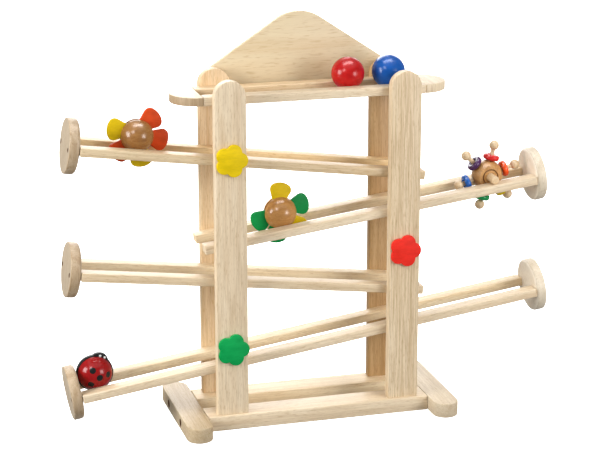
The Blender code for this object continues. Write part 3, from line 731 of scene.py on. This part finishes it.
def lobe_reach(centre, radius, angle):
    """Distance from the middle to a lobe's edge, at an angle from the lobe's own line."""
    side = centre * math.sin(angle)
    return centre * math.cos(angle) + math.sqrt(radius * radius - side * side)


outline = []
for lobe in range(LOBES):
    for step in range(LOBE_STEPS):
        angle = math.tau / LOBES * (step / LOBE_STEPS - 0.5)
        reach = lobe_reach(LOBE_CENTRE, LOBE_RADIUS, angle)
        turn = angle + math.tau / LOBES * lobe
        outline.append((reach * math.cos(turn), reach * math.sin(turn)))
blossom = cut_board("blossom_pattern", outline, -FLOWER_THICK, 0, True)
ease(blossom, FLOWER_EASE)
for colour, x, z in POST_FLOWERS:
    settle(copy_of(blossom, colour + "_flower_board"), satin[colour], "frame",
           colour + "_post_flower", Matrix.Translation((x, -POST_OUT - FIT, z)))
discard(blossom)
print("post flowers stand", FLOWER_THICK, "mm proud")

# %% [markdown]
# The two balls are turned from wood and dipped in gloss paint.
# A subdivided cube pulled out to a sphere has even faces and no poles, so its highlight stays clean.

# %% Balls
BALL_PLACES, BALL_CUTS, ALL_SMOOTH = {"red": 48.3, "blue": 99.2}, 23, 180.0
start_clean()
bpy.ops.mesh.primitive_cube_add(size=2.0)
ball = take("ball_pattern")
open_mesh()
bpy.ops.mesh.subdivide(number_cuts=BALL_CUTS)
bpy.ops.transform.tosphere(value=1.0)
close_mesh()
for vertex in ball.data.vertices:
    vertex.co = vertex.co.normalized() * BALL_RADIUS
for colour, x in BALL_PLACES.items():
    settle(copy_of(ball, colour + "_round"), ball_gloss[colour], colour + "_ball",
           colour + "_ball", Matrix.Translation((x, 0, TOP_LEVEL + SEAT)), ALL_SMOOTH)
discard(ball)
print("balls sit", round(SEAT, 2), "mm above the rails")

# %% [markdown]
# A flower roller is a bead that is cut in two, with five loose petals on pins between the halves.
# The half-bead is a sphere that is bisected and filled, and its cut rim is slightly rounded.
# A petal is a board with a broad tip, two round shoulders and a narrow root with its pin hole.

# %% Half-bead, petal and pin
PETAL_THICK, ROOT_RADIUS, PETAL_REACH, PIN_CIRCLE, PIN_RADIUS = 4.0, 5.0, 15.5, 10.0, 2.0
TIP_REACH, TIP_RADIUS, SHOULDER_RADIUS, SHOULDER_SIDE = 28.0, 20.0, 7.5, 5.7
BEAD_EASE, PETAL_EASE, PIN_EASE, TIP_STEPS, ROOT_STEPS = 0.6, 0.9, 0.2, 16, 18
SLOT = PETAL_THICK / 2 + FIT


def half_bead(name, face, swell=1.0):
    """The front half of a bead, from a sphere that is bisected beside its middle; swell widens it."""
    start_clean()
    bpy.ops.mesh.primitive_uv_sphere_add(segments=64, ring_count=40, radius=BALL_RADIUS,
                                         rotation=(math.pi / 2, 0, 0))
    bpy.context.object.scale = (swell, swell, 1.0)
    obj = take(name)
    open_mesh()
    bpy.ops.mesh.bisect(plane_co=(0, -face, 0), plane_no=(0, -1, 0), use_fill=True, clear_inner=True)
    close_mesh()
    ease(obj, BEAD_EASE)
    return obj


def petal_outline():
    """A broad petal with round shoulders, its pin hole at the origin, pointing along +X."""
    inside = TIP_RADIUS - SHOULDER_RADIUS
    tip = TIP_REACH - TIP_RADIUS
    shoulder = tip + math.sqrt(inside ** 2 - SHOULDER_SIDE ** 2)
    opening = math.degrees(math.asin(SHOULDER_SIDE / inside))
    taper = math.acos((ROOT_RADIUS - SHOULDER_RADIUS) / math.hypot(shoulder, SHOULDER_SIDE))
    flank = math.degrees(math.atan2(SHOULDER_SIDE, shoulder) + taper)
    points = arc(TIP_RADIUS, -opening, opening, TIP_STEPS, (tip, 0))
    points += arc(SHOULDER_RADIUS, opening, flank, TIP_STEPS, (shoulder, SHOULDER_SIDE))[1:]
    points += arc(ROOT_RADIUS, flank, 360 - flank, ROOT_STEPS)
    points += arc(SHOULDER_RADIUS, -flank, -opening, TIP_STEPS, (shoulder, -SHOULDER_SIDE))[:-1]
    return points


bead = half_bead("bead_pattern", SLOT)
petal = cut_board("petal_pattern", petal_outline(), -PETAL_THICK / 2, PETAL_THICK / 2, True)
ease(petal, PETAL_EASE)
drill(petal, rod("drill", PIN_RADIUS + FIT, -PETAL_THICK, PETAL_THICK, 'Y', sides=24))
pin = rod("pin_pattern", PIN_RADIUS, -SLOT, SLOT, 'Y', sides=20)
ease(pin, PIN_EASE, 2)
print("petal has", len(petal.data.polygons), "faces")

# %% [markdown]
# The petals flop as a roller turns, which is why they hang unevenly.
# Each one keeps its pin, and only the angle at which its lobe is seen from the roller's middle is given.
# The bead's lacquer is darker and glossier than the rails, with a fine grain.

# %% Flower rollers
BEAD_TONES = {"orange_flower": ((0.37, 0.18, 0.052), (0.31, 0.142, 0.038), (0.245, 0.10, 0.024)),
              "green_flower": ((0.56, 0.295, 0.095), (0.49, 0.24, 0.070), (0.41, 0.185, 0.050))}
FLOWERS = {
    "orange_flower": ("upper", -212.8, 68.0, (("orange", 48.0), ("orange", -12.0), ("yellow", -80.0),
                                              ("orange", -141.0), ("yellow", -201.0))),
    "green_flower": ("second", -34.8, 107.0, (("yellow", 90.0), ("green", 20.0), ("yellow", -41.0),
                                              ("green", -101.0), ("green", -162.0))),
}


def petal_turn(pin_angle, lobe_angle):
    """The petal's own angle that puts its lobe at an angle seen from the roller's middle."""
    offset = math.radians(pin_angle - lobe_angle)
    return lobe_angle - math.degrees(math.asin(PIN_CIRCLE * math.sin(offset) / PETAL_REACH))


for name, (track, u, pin_start, lobes) in FLOWERS.items():
    lacquer = timber(name + "_lacquer", GRAIN_X, BEAD_TONES[name], roughness=0.22, coat=0.35, size=0.5,
                     streak=0.25, pore=0.02)
    middle = Matrix.Translation(track_frame(track) @ Vector((u, 0, SEAT)))
    for word, turn in (("front", Matrix()), ("rear", HALF_TURN)):
        settle(copy_of(bead, name + "_" + word + "_bead"), lacquer, name,
               name + "_" + word + "_half", middle @ turn)
    for index, (colour, lobe) in enumerate(lobes):
        number = str(index + 1)
        pin_angle = pin_start - 360.0 / len(lobes) * index
        toward_pin = Matrix.Rotation(-math.radians(pin_angle), 4, 'Y')
        on_pin = middle @ toward_pin @ Matrix.Translation((PIN_CIRCLE, 0, 0))
        settle(copy_of(pin, name + "_pin_" + number), lacquer, name, None, on_pin)
        swing = Matrix.Rotation(-math.radians(petal_turn(pin_angle, lobe) - pin_angle), 4, 'Y')
        settle(copy_of(petal, name + "_leaf_" + number), petal_paint[colour], name + "_petal_" + number,
               name + "_petal_" + number, on_pin @ swing)
discard(bead, petal, pin)

# %% [markdown]
# The ladybug is a black plate with a round head between two red half-beads with black spots.
# The spots are paint, so they are drawn in the finish.
# A point is black where it lies close to a spot's middle.
# A Distance node measures that for each spot, and the nearest spot decides.

# %% Spotted paint
BUG_FACE, BUG_SWELL, BUG_PLATE = 3.3, 1.07, 22.5
BUG_RED, SPOT_RADIUS, SPOT_EDGE = (0.30, 0.003, 0.004), 3.9, 0.12
SPOT_PLACES = ((-5.0, 8.7), (3.0, -0.5), (14.2, 1.1), (-7.5, -8.7), (4.5, -17.5))
bug_seat = BUG_SWELL * (SEAT + SOLID_EASE) - SOLID_EASE
bug_middle = track_frame("bottom") @ Vector((TRACKS["bottom"][2] + BUG_PLATE + FIT, 0, bug_seat))
bug_place = Matrix.Translation(bug_middle)


def on_shell(x, z, side):
    """The point of the ladybug's shell behind or in front of a place in the plate's plane."""
    return Vector((x, side * math.sqrt(BALL_RADIUS ** 2 - (x * x + z * z) / BUG_SWELL ** 2), z))


def spotted_paint(name, side):
    """Gloss red paint with round black spots on one shell."""
    material = paint(name, BUG_RED, roughness=0.15, coat=0.0, shine=0.28, grain=0.02)
    nodes, links = material.node_tree.nodes, material.node_tree.links
    shader = nodes['Principled BSDF']
    red = shader.inputs['Base Color'].links[0].from_socket
    source = nodes.new('ShaderNodeTexCoord')
    nearest = None
    for x, z in SPOT_PLACES:
        distance = nodes.new('ShaderNodeVectorMath')
        distance.operation = 'DISTANCE'
        feed(links, distance, {0: source.outputs['Object'], 1: (bug_middle + on_shell(x, z, side)) * MM})
        if nearest is None:
            nearest = distance.outputs['Value']
            continue
        closer = nodes.new('ShaderNodeMath')
        closer.operation = 'MINIMUM'
        feed(links, closer, {0: nearest, 1: distance.outputs['Value']})
        nearest = closer.outputs['Value']
    inside = nodes.new('ShaderNodeMapRange')
    feed(links, inside, {'Value': nearest, 'From Min': (SPOT_RADIUS + SPOT_EDGE) * MM,
                         'From Max': (SPOT_RADIUS - SPOT_EDGE) * MM})
    spotted = blend(nodes, links, inside.outputs['Result'], red, (*BLACK, 1.0))
    links.new(spotted, shader.inputs['Base Color'])
    return material


print("ladybug sits at", [round(value, 1) for value in bug_middle])

# %% [markdown]
# The shells are half-beads that are a little wider than a ball, and the plate's rim shows round them.
# The plate's outline is a circle with a second, smaller circle for the head.
# Each angle of the outline takes the farther of the two edges.
# The eyes are small white discs on the front of the plate.

# %% Ladybug
HEAD_ANGLE, BUG_HEAD, BUG_HEAD_RADIUS = math.radians(68.0), 14.8, 11.2
PLATE_STEPS, PLATE_HALF, PLATE_EASE = 144, 3.0, 1.0
EYE_RADIUS, EYE_PROUD, EYE_EASE, EYE_PLACES = 1.5, 0.5, 0.35, ((6.9, 21.5), (12.4, 18.8))
EYE_WHITE = (0.82, 0.82, 0.80)

shell = half_bead("shell_pattern", BUG_FACE, BUG_SWELL)
for word, side, turn in (("front", -1, Matrix()), ("rear", 1, HALF_TURN)):
    finish = spotted_paint("ladybug_" + word + "_spots", side)
    settle(copy_of(shell, "ladybug_" + word + "_shell"), finish, "ladybug",
           "ladybug_" + word + "_half", bug_place @ turn)

outline = []
for step in range(PLATE_STEPS):
    turn = math.tau * step / PLATE_STEPS
    lean = math.atan2(math.sin(turn - HEAD_ANGLE), math.cos(turn - HEAD_ANGLE))
    reach = BUG_PLATE
    if abs(lean) < math.asin(BUG_HEAD_RADIUS / BUG_HEAD):
        reach = max(reach, lobe_reach(BUG_HEAD, BUG_HEAD_RADIUS, lean))
    outline.append((reach * math.cos(turn), reach * math.sin(turn)))
plate = cut_board("ladybug_body_plate", outline, -PLATE_HALF, PLATE_HALF, True)
ease(plate, PLATE_EASE)
settle(plate, black_satin, "ladybug", "ladybug_plate", bug_place)

eye_white = paint("eye_white_paint", EYE_WHITE, roughness=0.3, coat=0.2, shine=0.3, grain=0.02)
eye = rod("eye_pattern", EYE_RADIUS, -PLATE_HALF - EYE_PROUD, -PLATE_HALF + NEAR, 'Y', sides=28)
ease(eye, EYE_EASE, 4)
for index, (x, z) in enumerate(EYE_PLACES):
    settle(copy_of(eye, "ladybug_eye_" + str(index + 1)), eye_white, "ladybug", None,
           bug_place @ Matrix.Translation((x, 0, z)))
discard(shell, eye)
print("ladybug spots", 2 * len(SPOT_PLACES))

# %% [markdown]
# The spiked wheel rolls on a thick dowel, with six pegs that each carry a loose ring.
# Its hub is a sphere with two flat faces, and three insets sink a groove into each face.
# A peg starts as its ball head.
# The sphere is opened at the neck, and that edge loop is extruded down to the hub.

# %% Hub, peg and ring
HUB_RADIUS, HUB_HALF, AXLE_RADIUS, AXLE_HALF = 19.0, 13.0, 5.0, 29.0
PEG_RADIUS, HEAD_RADIUS, HEAD_CENTRE, PEG_ROOT = 2.7, 6.0, 38.0, 17.0
RING_RADIUS, RING_BORE, RING_THICK, RING_EASE, AXLE_EASE = 10.0, 3.5, 7.0, 2.8, 0.7
HUB_FLAT = math.sqrt(HUB_RADIUS ** 2 - HUB_HALF ** 2)
# Each inset of the groove has a width and a height.
GROOVE = ((3.6, 0.0), (0.9, -1.3), (0.9, 1.3))
GROOVE_IN, GROOVE_OUT, GROOVE_BELOW, SQUARE_ON = AXLE_RADIUS + 1.0, HUB_FLAT - 2.0, 2.0, 0.99


def in_groove(face):
    """Whether a face belongs to a turned groove, just below a flat face of the hub."""
    reach = math.hypot(face.center.x, face.center.z)
    below = HUB_HALF - abs(face.center.y)
    return GROOVE_IN < reach < GROOVE_OUT and NEAR < below < GROOVE_BELOW


def wheel_hub(name):
    """A ball with two flat faces and a turned groove in each."""
    start_clean()
    bpy.ops.mesh.primitive_uv_sphere_add(segments=72, ring_count=48, radius=HUB_RADIUS,
                                         rotation=(math.pi / 2, 0, 0))
    obj = take(name)
    bpy.ops.object.mode_set(mode='EDIT')
    for side in (-1, 1):
        bpy.ops.mesh.select_all(action='SELECT')
        bpy.ops.mesh.bisect(plane_co=(0, side * HUB_HALF, 0), plane_no=(0, side, 0), use_fill=True,
                            clear_outer=True)
    close_mesh()
    for side in (-1, 1):
        unselect('FACE')
        for face in obj.data.polygons:
            face.select = face.center.y * side > HUB_HALF - SAME and face.normal.y * side > SQUARE_ON
        bpy.ops.object.mode_set(mode='EDIT')
        for width, depth in GROOVE:
            bpy.ops.mesh.inset(thickness=width, depth=depth)
        bpy.ops.object.mode_set(mode='OBJECT')
    drill(obj, rod("drill", AXLE_RADIUS + FIT, -HUB_RADIUS, HUB_RADIUS, 'Y', sides=48))
    mark(obj, in_groove)
    return obj


def wheel_peg(name):
    """A ball-headed peg along +Z."""
    start_clean()
    bpy.ops.mesh.primitive_uv_sphere_add(segments=32, ring_count=24, radius=HEAD_RADIUS,
                                         location=(0, 0, HEAD_CENTRE))
    obj = take(name)
    neck = HEAD_CENTRE - math.sqrt(HEAD_RADIUS ** 2 - PEG_RADIUS ** 2)
    bpy.ops.object.mode_set(mode='EDIT')
    bpy.ops.mesh.select_mode(type='EDGE')
    bpy.ops.mesh.select_all(action='SELECT')
    bpy.ops.mesh.bisect(plane_co=(0, 0, neck), plane_no=(0, 0, 1), clear_inner=True)
    bpy.ops.mesh.extrude_region_move(TRANSFORM_OT_translate={"value": (0, 0, PEG_ROOT - neck)})
    bpy.ops.mesh.edge_face_add()
    close_mesh()
    return obj


hub = wheel_hub("turned_hub")
peg = wheel_peg("peg_pattern")
ring = rod("ring_pattern", RING_RADIUS, -RING_THICK / 2, RING_THICK / 2, 'Z', sides=56)
drill(ring, rod("drill", RING_BORE, -RING_THICK, RING_THICK, 'Z', sides=40))
ease(ring, RING_EASE, 6)
axle = rod("axle_dowel", AXLE_RADIUS, -AXLE_HALF, AXLE_HALF, 'Y', sides=48)
ease(axle, AXLE_EASE)
print("wheel reaches", HEAD_CENTRE + HEAD_RADIUS, "mm from its axle")

# %% [markdown]
# The pegs stand 60 degrees apart. The rings on the upper pegs have slid down to the hub.
# The rings on the lower pegs have slid out against the ball heads, as gravity does with loose rings.

# %% Spiked wheel
PEG_START, RING_TRAVEL, WHEEL_AT = 17.0, 5.0, 231.9
RING_LOW = HUB_RADIUS + FIT + RING_THICK / 2
RINGS = (("orange", 0.0), ("red", 0.0), ("purple", 0.0),
         ("blue", RING_TRAVEL), ("green", RING_TRAVEL), ("yellow", RING_TRAVEL))
TURNED = ((0.65, 0.37, 0.145), (0.57, 0.30, 0.098), (0.46, 0.22, 0.060))
# The groove gets darker tones than the hub.
GROOVE_TONES = ((0.36, 0.19, 0.075), (0.30, 0.15, 0.055), (0.23, 0.11, 0.036))
PEG_TONES = ((0.82, 0.65, 0.43), (0.76, 0.57, 0.35), (0.68, 0.47, 0.26))
wheel_place = Matrix.Translation(track_frame("second") @ Vector((WHEEL_AT, 0, AXLE_RADIUS + FIT)))
peg_timber = timber("peg_timber", GRAIN_Z, PEG_TONES, roughness=0.36, coat=0.2)
hub_timber = timber("hub_timber", GRAIN_Y, TURNED, roughness=0.34, coat=0.25, pore=0.05)
axle_timber = timber("axle_timber", GRAIN_Y, HONEY, roughness=0.34, coat=0.25, pore=0.05)
groove_timber = timber("groove_timber", GRAIN_Y, GROOVE_TONES, roughness=0.5, coat=0.1)
settle(hub, hub_timber, "wheel_hub", "wheel_hub", wheel_place, extras=(groove_timber,))
settle(axle, axle_timber, "wheel_axle", "wheel_axle", wheel_place)
for index, (colour, slid) in enumerate(RINGS):
    peg_angle = PEG_START + 360.0 / len(RINGS) * index
    outward = wheel_place @ Matrix.Rotation(math.radians(90.0 - peg_angle), 4, 'Y')
    settle(copy_of(peg, "peg_" + str(index + 1)), peg_timber, "wheel_hub", None, outward)
    settle(copy_of(ring, colour + "_bead_ring"), ring_paint[colour], colour + "_ring",
           colour + "_ring", outward @ Matrix.Translation((0, 0, RING_LOW + slid)))
discard(peg, ring)
print("rings", len(RINGS))

# %% [markdown]
# The run stands on plain white paper, which glows so that it stays white in the picture.
# Light from so bright a floor would wash out every shadow, so diffuse and glossy rays don't see it.
# The white world gives a soft fill in its place.

# %% Floor and world
FLOOR_SIZE, FLOOR_DROP, FLOOR_GLOW, WORLD_FILL = 40.0, 0.0003, 1.0, 0.34
PAPER_DARK, PAPER_LIGHT, PAPER_CLOUD = (0.90, 0.90, 0.90), (0.92, 0.92, 0.92), ((0.4, 0.4), 2.0)
WHITE = (1.0, 1.0, 1.0, 1.0)
start_clean()
bpy.ops.mesh.primitive_plane_add(size=FLOOR_SIZE, location=(0, 0, -FLOOR_DROP))
floor = take("studio_floor")
floor_paper, nodes, links, shader = blank_material("studio_floor_paper")
clouds = noise(nodes, links, GRAIN_X, (0, 0, 0), *PAPER_CLOUD)
tint = ramp(nodes, links, clouds, ((0.3, PAPER_DARK), (0.7, PAPER_LIGHT)))
feed(links, shader, {'Base Color': tint, 'Roughness': 0.9, 'Emission Color': WHITE,
                     'Emission Strength': FLOOR_GLOW})
floor.data.materials.append(floor_paper)
floor.visible_diffuse = False
floor.visible_glossy = False
floor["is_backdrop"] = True

bpy.context.scene.view_settings.view_transform = 'Standard'
world = bpy.data.worlds.new("studio_white")
bpy.context.scene.world = world
world.use_nodes = True
backdrop = world.node_tree
feed(backdrop.links, backdrop.nodes['Background'], {'Color': WHITE, 'Strength': WORLD_FILL})
print("floor and world ready")

# %% [markdown]
# A wide sun overhead stands for the bright ceiling, and it lights the tops.
# A wash from the right lights the fronts and is never mirrored. Two soft boxes light the left and the back.
# Four more are seen only in gloss: two in front for the highlights on balls and beads, and one overhead.
# The last is the white wall behind, which bleaches the lacquered tops.

# %% Lights
CEILING_AT, CEILING_POWER, CEILING_SPREAD = (0.15, -0.3, 2.2), 1.2, 80.0
MIDDLE = (0, 0, 0.28)
# Each light has a place, a width, a height and a power in watts.
WASHES = {"front_wash": ((1.1, -1.2, 0.68), 0.8, 0.8, 17.0)}
BOXES = {"left_softbox": ((-2.0, -0.45, 0.8), 0.9, 0.9, 42.0),
         "back_softbox": ((0, 1.7, 1.3), 1.3, 1.3, 20.0)}
SHEENS = {"key_softbox": ((1.08, -1.67, 0.50), 0.7, 0.7, 18.0),
          "fill_softbox": ((-1.19, -1.17, 1.45), 0.55, 0.55, 12.0),
          "top_softbox": ((0, -0.05, 1.65), 1.2, 0.5, 26.0),
          "wall_glow": ((0.6, 3.2, 0.95), 3.0, 1.8, 45.0)}


def aimed(name, lamp, at, target):
    """Put a lamp in place and point it at a target."""
    obj = bpy.data.objects.new(name, lamp)
    obj.location = at
    obj.rotation_euler = (Vector(target) - Vector(at)).to_track_quat('-Z', 'Y').to_euler()
    obj.visible_camera = False
    bpy.context.scene.collection.objects.link(obj)
    return obj


ceiling = bpy.data.lights.new("ceiling_light", 'SUN')
ceiling.energy = CEILING_POWER
ceiling.angle = math.radians(CEILING_SPREAD)
aimed("ceiling_light", ceiling, CEILING_AT, (0, 0, 0))
for name, (at, width, height, power) in {**WASHES, **BOXES, **SHEENS}.items():
    lamp = bpy.data.lights.new(name, 'AREA')
    lamp.shape = 'RECTANGLE'
    lamp.size = width
    lamp.size_y = height
    lamp.energy = power
    box = aimed(name, lamp, at, MIDDLE)
    box.visible_glossy = name not in WASHES
    box.visible_diffuse = name not in SHEENS

# %% [markdown]
# The camera comes from a fit to the edges of the posts, rails and feet in the photograph.
# It stands a little to the left and looks slightly down through a long lens.

# %% Camera
SENSOR_WIDTH, LENS = 36.0, 116.9
CAMERA_AT, LOOK_AT = (-0.63499, -2.20442, 0.88145), Vector((-0.00796, 0.0, 0.23207))
camera_data = bpy.data.cameras.new("studio_camera")
camera_data.sensor_width = SENSOR_WIDTH
camera_data.lens = LENS
camera = bpy.data.objects.new("studio_camera", camera_data)
camera.location = CAMERA_AT
camera.rotation_euler = (LOOK_AT - camera.location).to_track_quat('-Z', 'Y').to_euler()
bpy.context.scene.collection.objects.link(camera)
bpy.context.scene.camera = camera
print("camera distance", round((LOOK_AT - camera.location).length, 3), "m")

# %% [markdown]
# The last cell prints the size of everything that is shown, without the floor.
# It then closes the script.

# %% Size and finish
low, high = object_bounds()
print("size", [round(b - a, 4) for a, b in zip(low, high)])
